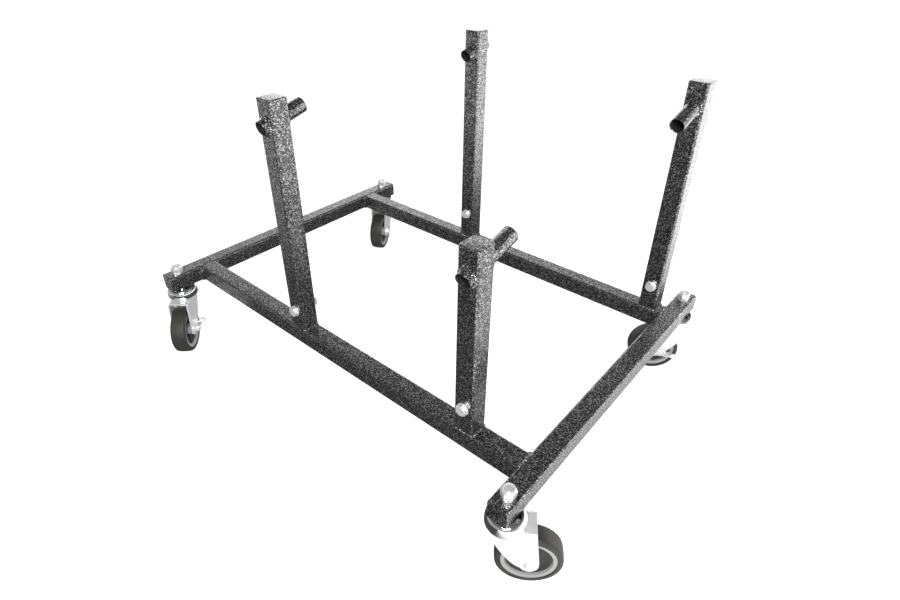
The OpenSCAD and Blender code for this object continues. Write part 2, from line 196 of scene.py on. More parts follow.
class Wire:
    """A socket that can stand in a plain expression: each step adds its Math node."""

    def __init__(self, net, socket):
        self.net, self.socket = net, socket

    def maths(self, operation, *others, clamp=False):
        return self.net.maths(operation, self, *others, clamp=clamp)

    def __add__(self, other):
        return self.maths("ADD", other)

    __radd__ = __add__

    def __sub__(self, other):
        return self.maths("SUBTRACT", other)

    def __rsub__(self, other):
        return self.net.maths("SUBTRACT", other, self)

    def __mul__(self, other):
        return self.maths("MULTIPLY", other)

    __rmul__ = __mul__

    def __truediv__(self, other):
        return self.maths("DIVIDE", other)

    def __rtruediv__(self, other):
        return self.net.maths("DIVIDE", other, self)

    def __pow__(self, other):
        return self.maths("POWER", other)

    def clamp(self):
        return self.maths("ADD", 0.0, clamp=True)


class Net:
    """A node tree that is written as a list of nodes."""

    def __init__(self, tree):
        self.tree = tree
        tree.nodes.clear()

    def node(self, kind, settings=None, values=None):
        made = self.tree.nodes.new(kind)
        for key, value in (settings or {}).items():
            if key == "stops":
                self.set_stops(made.color_ramp, value)
            else:
                setattr(made, key, value)
        for key, value in (values or {}).items():
            if isinstance(value, Wire):
                self.tree.links.new(value.socket, made.inputs[key])
            else:
                made.inputs[key].default_value = value
        return made

    @staticmethod
    def set_stops(ramp, stops):
        while len(ramp.elements) > 1:
            ramp.elements.remove(ramp.elements[-1])
        ramp.elements[0].position = stops[0][0]
        ramp.elements[0].color = stops[0][1]
        for at, shade in stops[1:]:
            ramp.elements.new(at).color = shade

    def wire(self, kind, settings=None, values=None, out=0):
        return Wire(self, self.node(kind, settings, values).outputs[out])

    def maths(self, operation, *parts, clamp=False):
        settings = {"operation": operation, "use_clamp": clamp}
        return self.wire("ShaderNodeMath", settings, dict(enumerate(parts)))

    def vector(self, operation, *parts):
        settings = {"operation": operation}
        return self.wire("ShaderNodeVectorMath", settings, dict(enumerate(parts)))

    def mix_colour(self, factor, first, second):
        return self.wire(
            "ShaderNodeMix",
            {"data_type": "RGBA"},
            {0: factor, 6: rgba(first), 7: rgba(second)},
            out=2,
        )

    def step(self, value, low, high):
        """0 below low, 1 above high and smooth between them."""
        return self.wire(
            "ShaderNodeMapRange",
            {"interpolation_type": "SMOOTHSTEP"},
            {0: value, 1: low, 2: high, 3: 0.0, 4: 1.0},
        )

    def noise(self, place, scale, detail=2.0, rough=0.5, out=0):
        return self.wire(
            "ShaderNodeTexNoise",
            {},
            {"Vector": place, "Scale": scale, "Detail": detail, "Roughness": rough},
            out,
        )

    def cells(self, place, scale, feature):
        values = {"Vector": place, "Scale": scale}
        return self.wire("ShaderNodeTexVoronoi", {"feature": feature}, values)


def rgba(value):
    return value if isinstance(value, Wire) else (*value, 1.0)


def new_material(name):
    """A material, its net and the place on the piece that its patterns follow."""
    made = bpy.data.materials.new(name)
    made.use_nodes = True
    net = Net(made.node_tree)
    return made, net, net.wire("ShaderNodeTexCoord", out=3)


def finish_material(net, base, rough, metallic, normal, fixed=None):
    values = {"Base Color": rgba(base), "Roughness": rough, "Metallic": metallic}
    values.update(fixed or {}, Normal=normal)
    shader = net.wire("ShaderNodeBsdfPrincipled", {}, values)
    net.node("ShaderNodeOutputMaterial", {}, {"Surface": shader})


def bump(net, height, strength, distance):
    return net.wire(
        "ShaderNodeBump", {}, {"Strength": strength, "Distance": distance, "Height": height}
    )


# Materials


def hammered_paint():
    """Glossy black hammered paint: a dark ground broken by short silver veins."""
    made, net, place = new_material("hammered_black_paint")
    size = bpy.context.scene.stand_sizes.flake
    drift = net.vector("SUBTRACT", net.noise(place, 240, 2.0, out=1), (0.5, 0.5, 0.5))
    drift = net.vector("MULTIPLY", drift, (0.0034,) * 3)
    bent = net.vector("ADD", place, drift)
    edge = net.cells(bent, 1 / size, "DISTANCE_TO_EDGE")
    middle = net.cells(bent, 1 / size, "F1")
    broken = net.step(net.noise(place, 0.8 / size, 1.0), 0.46, 0.62)
    vein = (1 - net.step(edge, 0.01, 0.13)) * broken
    speck = net.step(net.noise(bent, 1.8 / size, 1.0), 0.61, 0.69)
    silver = (vein + speck * 0.7).clamp()
    cloud = net.noise(place, 14, 3.0)
    base = net.mix_colour(silver * (0.75 + cloud * 0.4), tones().paint_dark, tones().paint_vein)
    rough = 0.17 + silver * 0.10 + net.noise(place, 55, 2.0) * 0.06
    dome = (1 - middle) * 0.5 + net.noise(place, 0.5 / size, 2.0) * 0.4 - silver * 0.3
    metal = (silver * 8).clamp() * 0.88
    finish_material(net, base, rough, metal, bump(net, dome, 0.16, 0.0006), {"IOR": 1.6})
    return made


def chrome_plate():
    """Bright plating over pressed steel, with faint waves and rubbed marks."""
    made, net, place = new_material("bright_plate")
    drawn = net.vector("MULTIPLY", place, (1.0, 1.0, 0.12))
    rubbed = net.noise(drawn, 900, 3.0, 0.6)
    cloud = net.noise(place, 45, 3.0)
    rough = 0.05 + cloud * 0.07 + net.step(rubbed, 0.55, 0.75) * 0.06
    stain = net.step(net.noise(place, 130, 4.0), 0.56, 0.74)
    base = net.mix_colour(stain * 0.35, tones().chrome, (0.55, 0.56, 0.57))
    height = net.noise(place, 60, 2.0) + rubbed * 0.04
    finish_material(net, base, rough, 1.0, bump(net, height, 0.15, 0.0004))
    return made


def satin_plate():
    """Bright satin plating of the pressed forks, clouded where it was handled."""
    made, net, place = new_material("satin_plate")
    cloud = net.noise(place, 50, 3.0)
    marks = net.step(net.noise(place, 210, 5.0, 0.65), 0.58, 0.74)
    base = net.mix_colour(cloud * 0.25 + marks * 0.25, tones().satin, (0.62, 0.63, 0.64))
    rough = 0.26 + cloud * 0.12 + marks * 0.10
    finish_material(net, base, rough, 0.55, bump(net, cloud + marks * 0.2, 0.2, 0.0003))
    return made


def zinc_plate():
    """Plated fasteners: brighter and duller patches and small handling marks."""
    made, net, place = new_material("zinc_plate")
    patch = net.noise(place, 320, 3.0)
    marks = net.step(net.noise(place, 1500, 2.0), 0.60, 0.72)
    dull = (patch * 0.5 + marks * 0.4).clamp()
    base = net.mix_colour(dull, tones().zinc, (0.50, 0.50, 0.49))
    rough = 0.22 + patch * 0.14 + marks * 0.12
    finish_material(net, base, rough, 0.6, bump(net, patch + marks * 0.2, 0.2, 0.0002))
    return made


def bore_painted_shade():
    """Inside of the sleeves, coloured near black and darker than the paint: painted shade in the
    bores, faintly clouded.
    """
    made, net, place = new_material("sleeve_bore")
    cloud = net.noise(place, 180, 3.0)
    # Painted shade: the bore is coloured near black to stand in for the shade inside the sleeve.
    base = net.mix_colour(cloud * 0.6, (0.003, 0.003, 0.003), (0.012, 0.012, 0.012))
    finish_material(net, base, 0.75 + cloud * 0.2, 0.0, bump(net, cloud, 0.3, 0.0003))
    return made


def nylon_ring():
    """Slightly clouded nylon locking ring."""
    made, net, place = new_material("nylon_ring")
    cloud = net.noise(place, 400, 3.0)
    base = net.mix_colour(cloud * 0.5, tones().nylon, (0.4, 0.41, 0.4))
    finish_material(net, base, 0.35 + cloud * 0.2, 0.0, bump(net, cloud, 0.3, 0.0002))
    return made


def tyre_rubber():
    """Grey rubber with dust in its pores and faint scuffs round the tread."""
    made, net, place = new_material("grey_rubber")
    pore = net.noise(place, 2600, 2.0)
    cloud = net.noise(place, 38, 4.0, 0.6)
    scuff = net.step(net.noise(place, 260, 5.0, 0.7), 0.58, 0.72)
    dust = (net.step(cloud, 0.35, 0.75) * 0.30 + scuff * 0.22 + pore * 0.12).clamp()
    base = net.mix_colour(dust, tones().rubber, (0.075, 0.072, 0.062))
    rough = 0.46 + cloud * 0.16 + scuff * 0.10
    height = pore * 0.4 + cloud * 0.3 + scuff * 0.3
    finish_material(net, base, rough, 0.0, bump(net, height, 0.35, 0.0003))
    return made


def rim_plastic():
    """Light grey moulded rim with a fine spark texture and a little grime."""
    made, net, place = new_material("rim_plastic")
    grain = net.noise(place, 1800, 2.0)
    grime = net.step(net.noise(place, 70, 4.0, 0.6), 0.52, 0.78)
    base = net.mix_colour(grime * 0.35 + grain * 0.1, tones().rim, (0.24, 0.24, 0.23))
    finish_material(net, base, 0.34 + grime * 0.2, 0.0, bump(net, grain, 0.2, 0.0002))
    return made


def cover_plastic():
    """Dark moulded dust cover, a little worn and dusty; its near-black colour also paints the shade
    in the wheel's recess.
    """
    made, net, place = new_material("cover_plastic")
    grain = net.noise(place, 1500, 2.0)
    dust = net.step(net.noise(place, 60, 4.0, 0.6), 0.40, 0.75)
    # Painted shade: the cover's near-black stands in for the shade in the wheel's recess.
    base = net.mix_colour(dust * 0.45, tones().cover, (0.050, 0.051, 0.040))
    finish_material(net, base, 0.32 + dust * 0.2, 0.0, bump(net, grain + dust, 0.25, 0.0002))
    return made


FLOOR_GLOW = 0.72
# Brightness of the floor in reflections: everywhere, then added on three sides
MIRRORED, MIRRORED_RIGHT, MIRRORED_FAR, MIRRORED_LEFT = 0.07, 1.5, 1.2, 0.55


def ground_floor():
    """Plain pale floor with soft contact shadows; reflections see a painted glow instead, faint
    everywhere and brighter on three sides.
    """
    made, net, place = new_material("pale_floor")
    grain = net.noise(place, 3.0, 2.0)
    seen = net.wire(
        "ShaderNodeBsdfPrincipled",
        {},
        {
            "Base Color": net.mix_colour(grain * 0.04, tones().floor, (0.8, 0.8, 0.8)),
            "Roughness": 0.9,
            "Emission Color": (1, 1, 1, 1),
            "Emission Strength": FLOOR_GLOW,
            "Specular IOR Level": 0.0,
        },
    )
    split = net.node("ShaderNodeSeparateXYZ", {}, {0: place})
    x, y = Wire(net, split.outputs[0]), Wire(net, split.outputs[1])
    # Painted reflection: for reflected rays the floor glows by place, standing in for lamps seen in
    # the metal.
    level = MIRRORED + net.step(x, 0.37, 0.58) * MIRRORED_RIGHT
    level = level + net.step(y, 0.5, 1.4) * MIRRORED_FAR
    level = level + (1 - net.step(x, -1.1, -0.4)) * MIRRORED_LEFT
    painted_reflection_glow = net.wire("ShaderNodeEmission", {}, {"Color": (1, 1, 1, 1), "Strength": level})
    glossy = net.wire("ShaderNodeLightPath", out=3)
    shader = net.wire("ShaderNodeMixShader", {}, {0: glossy, 1: seen, 2: painted_reflection_glow})
    net.node("ShaderNodeOutputMaterial", {}, {"Surface": shader})
    return made


# Each finish: what makes it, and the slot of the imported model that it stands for
FINISHES = {
    "paint": (hammered_paint, "frame_paint"),
    "chrome": (chrome_plate, "chrome"),
    "satin": (satin_plate, "chrome"),
    "zinc": (zinc_plate, "zinc"),
    "nylon": (nylon_ring, "zinc"),
    "rubber": (tyre_rubber, "tyre"),
    "rim": (rim_plastic, "wheel_core"),
    # The cover finish is near black, partly painted shade in the wheel's recess.
    "cover": (cover_plastic, "dust_cover"),
    # The bore finish is painted shade for the inside of the sleeves.
    "bore": (bore_painted_shade, None),
    "floor": (ground_floor, None),
}


@cache
def finish(name):
    """One shared material per finish, made when it is first asked for."""
    return FINISHES[name][0]()


# Mesh helpers. A shape is its points and its faces


def new_object(name, points, faces, edges=()):
    mesh = bpy.data.meshes.new(name)
    mesh.from_pydata([tuple(p) for p in points], list(edges), faces)
    made = bpy.data.objects.new(name, mesh)
    bpy.context.scene.collection.objects.link(made)
    return made


def join(*shapes):
    points, faces = [], []
    for shape_points, shape_faces in shapes:
        start = len(points)
        points += [Vector(p) for p in shape_points]
        faces += [[i + start for i in face] for face in shape_faces]
    return points, faces


def moved(shape, matrix):
    return [matrix @ Vector(p) for p in shape[0]], shape[1]


def lathe(profile, segments, closed=True):
    """Turns a profile of (radius, height) about Z. A closed profile makes a ring."""
    count = len(profile)
    points, faces = [], []
    for s in range(segments):
        a = 2 * math.pi * s / segments
        points += [Vector((r * math.cos(a), r * math.sin(a), z)) for r, z in profile]
        near, far = s * count, (s + 1) % segments * count
        for i in range(count if closed else count - 1):
            j = (i + 1) % count
            faces.append([near + i, far + i, far + j, near + j])
    if not closed:
        faces.append([s * count for s in range(segments)][::-1])
        faces.append([s * count + count - 1 for s in range(segments)])
    return points, faces


def lathe_mm(rows, segments, lift=0.0, closed=True):
    """Turns a profile that is written in millimetres, raised by lift."""
    return lathe([(r * MM, lift + z * MM) for r, z in rows], segments, closed)


def skin(rings):
    """A closed solid over outlines of equal length, from the lowest to the highest."""
    n = len(rings[0])
    points = [p for ring in rings for p in ring]
    faces = [list(range(n))[::-1]]
    for k in range(len(rings) - 1):
        for i in range(n):
            j = (i + 1) % n
            faces.append([k * n + i, k * n + j, (k + 1) * n + j, (k + 1) * n + i])
    faces.append([(len(rings) - 1) * n + i for i in range(n)])
    return points, faces


def rounded_square(width, corner, steps):
    """Outline of a square tube, anticlockwise."""
    inner = width / 2 - corner
    out = []
    for k, (sx, sy) in enumerate(((1, 1), (-1, 1), (-1, -1), (1, -1))):
        for i in range(steps + 1):
            a = math.pi / 2 * (k + i / steps)
            out.append((sx * inner + corner * math.cos(a), sy * inner + corner * math.sin(a)))
    return out


def soften(made, width, angle):
    """Rounds the edges that are sharper than an angle in degrees."""
    edges = made.modifiers.new("edges", "BEVEL")
    edges.width, edges.segments = width, 2
    edges.limit_method, edges.angle_limit = "ANGLE", math.radians(angle)


def bake(made):
    """Keeps the result of an object's modifiers as its plain mesh."""
    bpy.context.view_layer.update()
    evaluated = made.evaluated_get(bpy.context.evaluated_depsgraph_get())
    mesh = bpy.data.meshes.new_from_object(evaluated)
    made.modifiers.clear()
    made.data = mesh
    mesh.name = made.name
    return mesh


def settle(made, finish_name, sharp, turn_out=False):
    """Bakes a piece and gives it its finish and shading."""
    mesh = bake(made)
    if turn_out:
        shape = bmesh.new()
        shape.from_mesh(mesh)
        bmesh.ops.recalc_face_normals(shape, faces=shape.faces)
        shape.to_mesh(mesh)
        shape.free()
    mesh.materials.clear()
    mesh.materials.append(finish(finish_name))
    mesh.shade_smooth()
    mesh.set_sharp_from_angle(angle=math.radians(sharp))


def fit(made, body, finish_name, *nodes):
    """Puts a finished piece on its body in place of the nodes it stands for."""
    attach(made, body)
    if nodes:
        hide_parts(*nodes)
    return made


def solid(name, shape, body, finish_name, *nodes, bevel=0.0, sharp=32):
    """A piece from a shape, with its edges softened."""
    made = new_object(name, *shape)
    if bevel:
        soften(made, bevel, 35)
    settle(made, finish_name, sharp)
    return fit(made, body, finish_name, *nodes)


def paint_nodes(finish_name, *nodes):
    for node in nodes:
        slots = frame["nodes"][node].data.materials
        for i in range(len(slots)):
            slots[i] = finish(finish_name)


# Geometry Nodes: weld beads along a path, and fasteners set at their places


def start_tree(name, inputs):
    """A tree with named inputs: its net, their identifiers and their values as wires."""
    tree = bpy.data.node_groups.new(name, "GeometryNodeTree")
    net = Net(tree)
    face = tree.interface
    face.new_socket("Geometry", in_out="INPUT", socket_type="NodeSocketGeometry")
    ids = {
        label: face.new_socket(label, in_out="INPUT", socket_type="NodeSocket" + kind).identifier
        for label, kind in inputs.items()
    }
    face.new_socket("Geometry", in_out="OUTPUT", socket_type="NodeSocketGeometry")
    group = net.node("NodeGroupInput")
    return net, ids, {s.name: Wire(net, s) for s in group.outputs if s.name}


def end_tree(net, shape, material):
    """Makes the result real, gives it its material and puts it out."""
    shape = net.wire("GeometryNodeRealizeInstances", {}, {"Geometry": shape})
    shape = net.wire("GeometryNodeSetMaterial", {}, {"Geometry": shape, "Material": material})
    net.node("NodeGroupOutput", {}, {"Geometry": shape})
    return net.tree


def add_tree(made, tree, ids, values):
    modifier = made.modifiers.new(tree.name, "NODES")
    modifier.node_group = tree
    for name, value in values.items():
        modifier[ids[name]] = value


@cache
def bead_tree():
    """A rippled, slightly lumpy weld along each path; "bead" on the path scales it."""
    numbers = ("Bead radius", "Ripple pitch", "Ripple depth", "Lump depth", "Step", "Seed")
    net, ids, take = start_tree(
        "weld_bead", {**dict.fromkeys(numbers, "Float"), "Material": "Material"}
    )
    path = net.wire("GeometryNodeMeshToCurve", {}, {"Mesh": take["Geometry"]})
    path = net.wire(
        "GeometryNodeResampleCurve", {"mode": "LENGTH"}, {"Curve": path, "Length": take["Step"]}
    )
    along = net.wire("GeometryNodeSplineParameter", out=1)
    place = net.wire("GeometryNodeInputPosition")
    size = net.wire("GeometryNodeInputNamedAttribute", {"data_type": "FLOAT"}, {"Name": "bead"})
    wander, pits = (
        net.wire(
            "ShaderNodeTexNoise",
            {"noise_dimensions": "4D"},
            {"Vector": place, "W": take["Seed"], "Scale": scale, "Detail": 2.0},
        )
        for scale in (170.0, 620.0)
    )
    phase = (along / take["Ripple pitch"] + wander * 1.2).maths("FRACT")
    ridge = 1 - phase**1.6
    factor = 1 + (ridge - 0.5) * take["Ripple depth"] + (wander - 0.5) * take["Lump depth"]
    ring = net.wire("GeometryNodeCurvePrimitiveCircle", {}, {"Resolution": 12, "Radius": 1.0})
    bead = net.wire(
        "GeometryNodeCurveToMesh",
        {},
        {
            "Curve": path,
            "Profile Curve": ring,
            "Scale": factor * size * take["Bead radius"],
            "Fill Caps": True,
        },
    )
    shift = net.wire(
        "ShaderNodeVectorMath",
        {"operation": "SCALE"},
        {
            0: net.wire("GeometryNodeInputNormal"),
            "Scale": (pits - 0.5) * take["Lump depth"] * take["Bead radius"] * 0.8,
        },
    )
    bead = net.wire("GeometryNodeSetPosition", {}, {"Geometry": bead, "Offset": shift})
    return end_tree(net, bead, take["Material"]), ids


@cache
def place_tree():
    """Sets a fastener at every point, aimed by "aim" and turned a little at random."""
    net, ids, take = start_tree(
        "set_fasteners",
        {"Fastener": "Object", "Turn": "Float", "Seed": "Int", "Material": "Material"},
    )
    shape = net.wire("GeometryNodeObjectInfo", {}, {"Object": take["Fastener"]}, out=4)
    aim = net.wire(
        "GeometryNodeInputNamedAttribute", {"data_type": "FLOAT_VECTOR"}, {"Name": "aim"}
    )
    aim = net.wire("FunctionNodeEulerToRotation", {}, {"Euler": aim})
    set_out = net.wire(
        "GeometryNodeInstanceOnPoints",
        {},
        {"Points": take["Geometry"], "Instance": shape, "Rotation": aim},
    )
    turn = net.wire(
        "FunctionNodeRandomValue",
        {"data_type": "FLOAT"},
        {2: 0.0, 3: take["Turn"], "Seed": take["Seed"]},
        out=1,
    )
    spin = net.wire(
        "FunctionNodeAxisAngleToRotation", {}, {"Axis": (0.0, 0.0, 1.0), "Angle": turn}
    )
    set_out = net.wire(
        "GeometryNodeRotateInstances",
        {},
        {"Instances": set_out, "Rotation": spin, "Local Space": True},
    )
    return end_tree(net, set_out, take["Material"]), ids


def beads(name, node, paths, radius, ripple, lump, seed):
    """One piece with a weld along each path of (point, bead scale); paths may close."""
    points, edges, scales = [], [], []
    for path, closed in paths:
        start = len(points)
        points += [p for p, _ in path]
        scales += [s for _, s in path]
        last = len(path) if closed else len(path) - 1
        edges += [(start + i, start + (i + 1) % len(path)) for i in range(last)]
    made = new_object(name, points, [], edges)
    made.data.attributes.new("bead", "FLOAT", "POINT").data.foreach_set("value", scales)
    values = {
        "Bead radius": radius,
        "Ripple pitch": bpy.context.scene.stand_sizes.ripple,
        "Ripple depth": ripple,
        "Lump depth": lump,
        "Step": 0.45 * MM,
        "Seed": seed,
        "Material": finish("paint"),
    }
    add_tree(made, *bead_tree(), values)
    settle(made, "paint", 60, turn_out=True)
    return fit(made, "frame", "paint", node)


def fasteners(name, nodes, shape, places, finish_name, turn=0.0, seed=1, sharp=32):
    """One piece with the shape set at each (point, aim)."""
    template = new_object(name + "_one", *shape)
    made = new_object(name, [p for p, _ in places], [])
    aims = [value for _, aim in places for value in aim]
    made.data.attributes.new("aim", "FLOAT_VECTOR", "POINT").data.foreach_set("vector", aims)
    values = {
        "Fastener": template,
        "Turn": turn,
        "Seed": seed,
        "Material": finish(finish_name),
    }
    add_tree(made, *place_tree(), values)
    settle(made, finish_name, sharp)
    bpy.data.objects.remove(template)
    return fit(made, "frame", finish_name, *nodes)


# Shapes of the fasteners


def hex_solid(flats, height, chamfer, both=False):
    """A hexagon whose corners are turned off at the top, and below too if both."""
    steps, count = 8, 6
    corner = flats / math.sqrt(3)
    inner = flats / 2 * 0.97
    rise = corner - inner
    slope = chamfer / rise
    rows = []
    if both:
        rows += [(inner + rise * i / count, i / count * rise * slope) for i in range(count)]
    rows.append((corner, chamfer if both else 0.0))
    rows += [
        (corner - rise * i / count, height - chamfer + i / count * rise * slope)
        for i in range(count + 1)
    ]
    rings = []
    for turned, z in rows:
        ring = []
        for i in range(6 * steps):
            a = math.pi / 3 * (i // steps + i % steps / steps)
            off = a % (math.pi / 3) - math.pi / 6
            r = min(flats / 2 / math.cos(off), turned)
            ring.append(Vector((r * math.cos(a), r * math.sin(a), z)))
        rings.append(ring)
    return skin(rings)


def threaded_rod(radius, low, high, pitch, depth, plain_to, point=0.8 * MM):
    """A rod from low to high with turned threads above plain_to and a chamfered end."""
    profile = [(radius, low), (radius, plain_to)]
    z = plain_to
    while z + pitch < high - point:
        profile += [
            (radius, z + 0.1 * pitch),
            (radius - depth, z + 0.45 * pitch),
            (radius - depth, z + 0.6 * pitch),
            (radius, z + 0.95 * pitch),
        ]
        z += pitch
    profile += [(radius, high - point), (radius - point, high)]
    return lathe(profile, 32, closed=False)


def ring_shape(outer, inner, low, high):
    """A flat ring with its edges taken off."""
    edge = 0.3 * MM
    base = [(inner, low + edge), (inner + edge, low), (outer - edge, low), (outer, low + edge)]
    top = [(outer, high - edge), (outer - edge, high), (inner + edge, high), (inner, high - edge)]
    return lathe(base + top, 48)


def at_casters(height):
    """A place for a fastener on each swivel axis."""
    return [(Vector((c["x"], c["y"], height)), (0, 0, 0)) for c in CASTERS.values()]


# Frame


class STAND_OT_tubes(bpy.types.Operator):
    """Paint the square tubes of the frame and the uprights"""

    bl_idname = "stand.tubes"
    bl_label = "Paint tubes"

    def execute(self, context):
        names = ["crossbar_front", "crossbar_rear", "rail_near", "rail_far"]
        names += ["upright_" + n for n in CORNERS] + ["stub_" + n for n in CORNERS]
        paint_nodes("paint", *names)
        return {"FINISHED"}


class STAND_OT_weld_beads(bpy.types.Operator):
    """Lay the welds at the feet, in the frame's corners and round the sleeves"""

    bl_idname = "stand.weld_beads"
    bl_label = "Weld beads"

    def execute(self, context):
        sizes = context.scene.stand_sizes
        feet = [(self.foot(p), True) for p in POSTS.values()]
        for name, node, paths, radius, ripple, lump, seed in (
            ("foot_weld_beads", "foot_welds", feet, sizes.foot_bead, 0.55, 0.7, 3.0),
            ("frame_weld_beads", "frame_welds", self.corners(), sizes.corner_bead, 0.22, 0.5, 8.0),
            ("sleeve_weld_beads", "sleeve_welds", self.collars(), sizes.collar_bead, 0.5, 0.8, 5.0),
        ):
            beads(name, node, paths, radius, ripple, lump, seed)
        return {"FINISHED"}

    def foot(self, p):
        """Path round an upright's foot: proud on the rail's top, low on its sides."""
        top_out, top_z, top_size = 0.3 * MM, 0.4 * MM, 1.0
        side_in, side_z, side_size = 2.1 * MM, 0.1 * MM, 0.95
        path = []
        for x, y in rounded_square(TUBE, TUBE_CORNER, 6):
            share, across = (
                min(1.0, max(0.0, (abs(v) - TUBE / 2 + TUBE_CORNER) / TUBE_CORNER))
                for v in (x, y)
            )
            top = share * (1 - across) + share * across * 0.5
            spot = Vector((
                p["x"] + x + math.copysign(top_out, x) * share,
                p["y"] + y - math.copysign(side_in, y) * across,
                DECK + top_z * top + side_z * (1 - top),
            ))
            path.append((spot, top_size * top + side_size * (1 - top)))
        return path

    def corners(self):
        """Upright welds in the inner corners and low seams over the rail ends."""
        rows = [(DECK - 0.0032, 0.5), (DECK - 0.0050, 0.85), (DECK - 0.009, 1.0)]
        rows += [(UNDER + 0.008, 1.0), (UNDER + 0.003, 0.85), (UNDER + 0.001, 0.5)]
        proud, inset, margin = 0.8 * MM, 0.6 * MM, 2 * MM
        out = []
        for bar, inner in (("crossbar_rear", 1), ("crossbar_front", -1)):
            low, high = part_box(bar)
            face = high.x if inner > 0 else low.x
            for rail in ("rail_near", "rail_far"):
                rail_low, rail_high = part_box(rail)
                for y, side in ((rail_low.y, -1), (rail_high.y, 1)):
                    x = face + inner * proud
                    weld = [(Vector((x, y + side * proud, z)), size) for z, size in rows]
                    out.append((weld, False))
                for z in (DECK - 2.4 * MM, UNDER + 2.4 * MM):
                    x, start, run = face - inner * inset, rail_low.y + margin, TUBE - 2 * margin
                    seam = [(Vector((x, start + t * run, z)), 0.5) for t in (0, 0.25, 0.5, 0.75, 1)]
                    out.append((seam, False))
        return out

    def collars(self):
        """Slanted rings where each sleeve leaves its upright."""
        steps, radius = 40, SLEEVE_R + 0.9 * MM
        out = []
        for p in POSTS.values():
            for side in (-1, 1):
                middle = p["top"] - SLEEVE_DROP + side * TUBE / 2 * math.tan(SLEEVE_TILT)
                y = p["y"] + side * (TUBE / 2 + 0.5 * MM)
                path = []
                for i in range(steps):
                    a = 2 * math.pi * i / steps
                    z = middle + radius / math.cos(SLEEVE_TILT) * math.sin(a)
                    path.append((Vector((p["x"] + radius * math.cos(a), y, z)), 1.0))
                out.append((path, True))
        return out


class STAND_OT_end_caps(bpy.types.Operator):
    """Close the tubes with ground end caps"""

    bl_idname = "stand.end_caps"
    bl_label = "End caps"

    def execute(self, context):
        edge = context.scene.stand_sizes.cap_edge
        ends = []
        for bar in ("crossbar_rear", "crossbar_front"):
            low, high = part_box(bar)
            for y, out in ((low.y, 1), (high.y, -1)):
                place = Matrix.Translation(((low.x + high.x) / 2, y, (DECK + UNDER) / 2))
                turn = Matrix.Rotation(math.radians(90 * out), 4, "X")
                ends.append(moved(self.plate(edge), place @ turn))
        solid("crossbar_end_caps", join(*ends), "frame", "paint", "crossbar_caps", sharp=40)
        tops = [
            moved(self.plate(edge), Matrix.Translation((p["x"], p["y"], p["top"] - CAP_T)))
            for p in POSTS.values()
        ]
        solid("upright_end_caps", join(*tops), "frame", "paint", "upright_caps", sharp=40)
        return {"FINISHED"}

    def plate(self, edge):
        """A cap that starts in the tube's end, swells at its weld and rounds over."""
        steps = 6
        levels = [(0.0005, -0.0014), (-0.00015, -0.0009), (-0.0003, -0.0003)]
        levels += [(-0.00025, 0.0004), (0.0, 0.0010)]
        for i in range(steps + 1):
            a = math.pi / 2 * i / steps
            levels.append((edge * (1 - math.cos(a)), CAP_T - edge + edge * math.sin(a)))
        rings = []
        for inset, z in levels:
            outline = rounded_square(TUBE - 2 * inset, TUBE_CORNER - min(inset, 2 * MM), 8)
            rings.append([Vector((x, y, z)) for x, y in outline])
        return skin(rings)


def sleeve_matrix(p):
    """Puts +Z along an upright's sleeve, with the origin at its middle."""
    middle = Matrix.Translation((p["x"], p["y"], p["top"] - SLEEVE_DROP))
    return middle @ Matrix.Rotation(SLEEVE_TILT - math.pi / 2, 4, "X")


class STAND_OT_sleeves(bpy.types.Operator):
    """Fit the four tilted sleeves with rounded lips"""

    bl_idname = "stand.sleeves"
    bl_label = "Sleeves"

    def execute(self, context):
        lip = context.scene.stand_sizes.lip
        bore = SLEEVE_R - SLEEVE_WALL
        mouth = [(bore, lip), (bore + lip, 0), (SLEEVE_R - lip, 0)]
        mouth += [(SLEEVE_R - lip * 0.3, lip * 0.3), (SLEEVE_R, lip)]
        rise = SLEEVE_R * math.sin(SLEEVE_TILT)
        for name, p in POSTS.items():
            low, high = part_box("sleeve_" + name)
            starts = (low.y - p["y"] + rise) / math.cos(SLEEVE_TILT)
            ends = (high.y - p["y"] - rise) / math.cos(SLEEVE_TILT)
            profile = [(r, starts + z) for r, z in mouth] + [(r, ends - z) for r, z in mouth[::-1]]
            shape = moved(lathe(profile, 72), sleeve_matrix(p))
            tube = solid("sleeve_tube_" + name, shape, "frame", "paint", "sleeve_" + name)
            # The bore faces get the near-black finish, which paints the shade inside the sleeve.
            tube.data.materials.append(finish("bore"))
            inward = sleeve_matrix(p).inverted()
            for face in tube.data.polygons:
                spot = inward @ face.center
                face.material_index = int(math.hypot(spot.x, spot.y) < bore + 0.1 * MM)
        return {"FINISHED"}


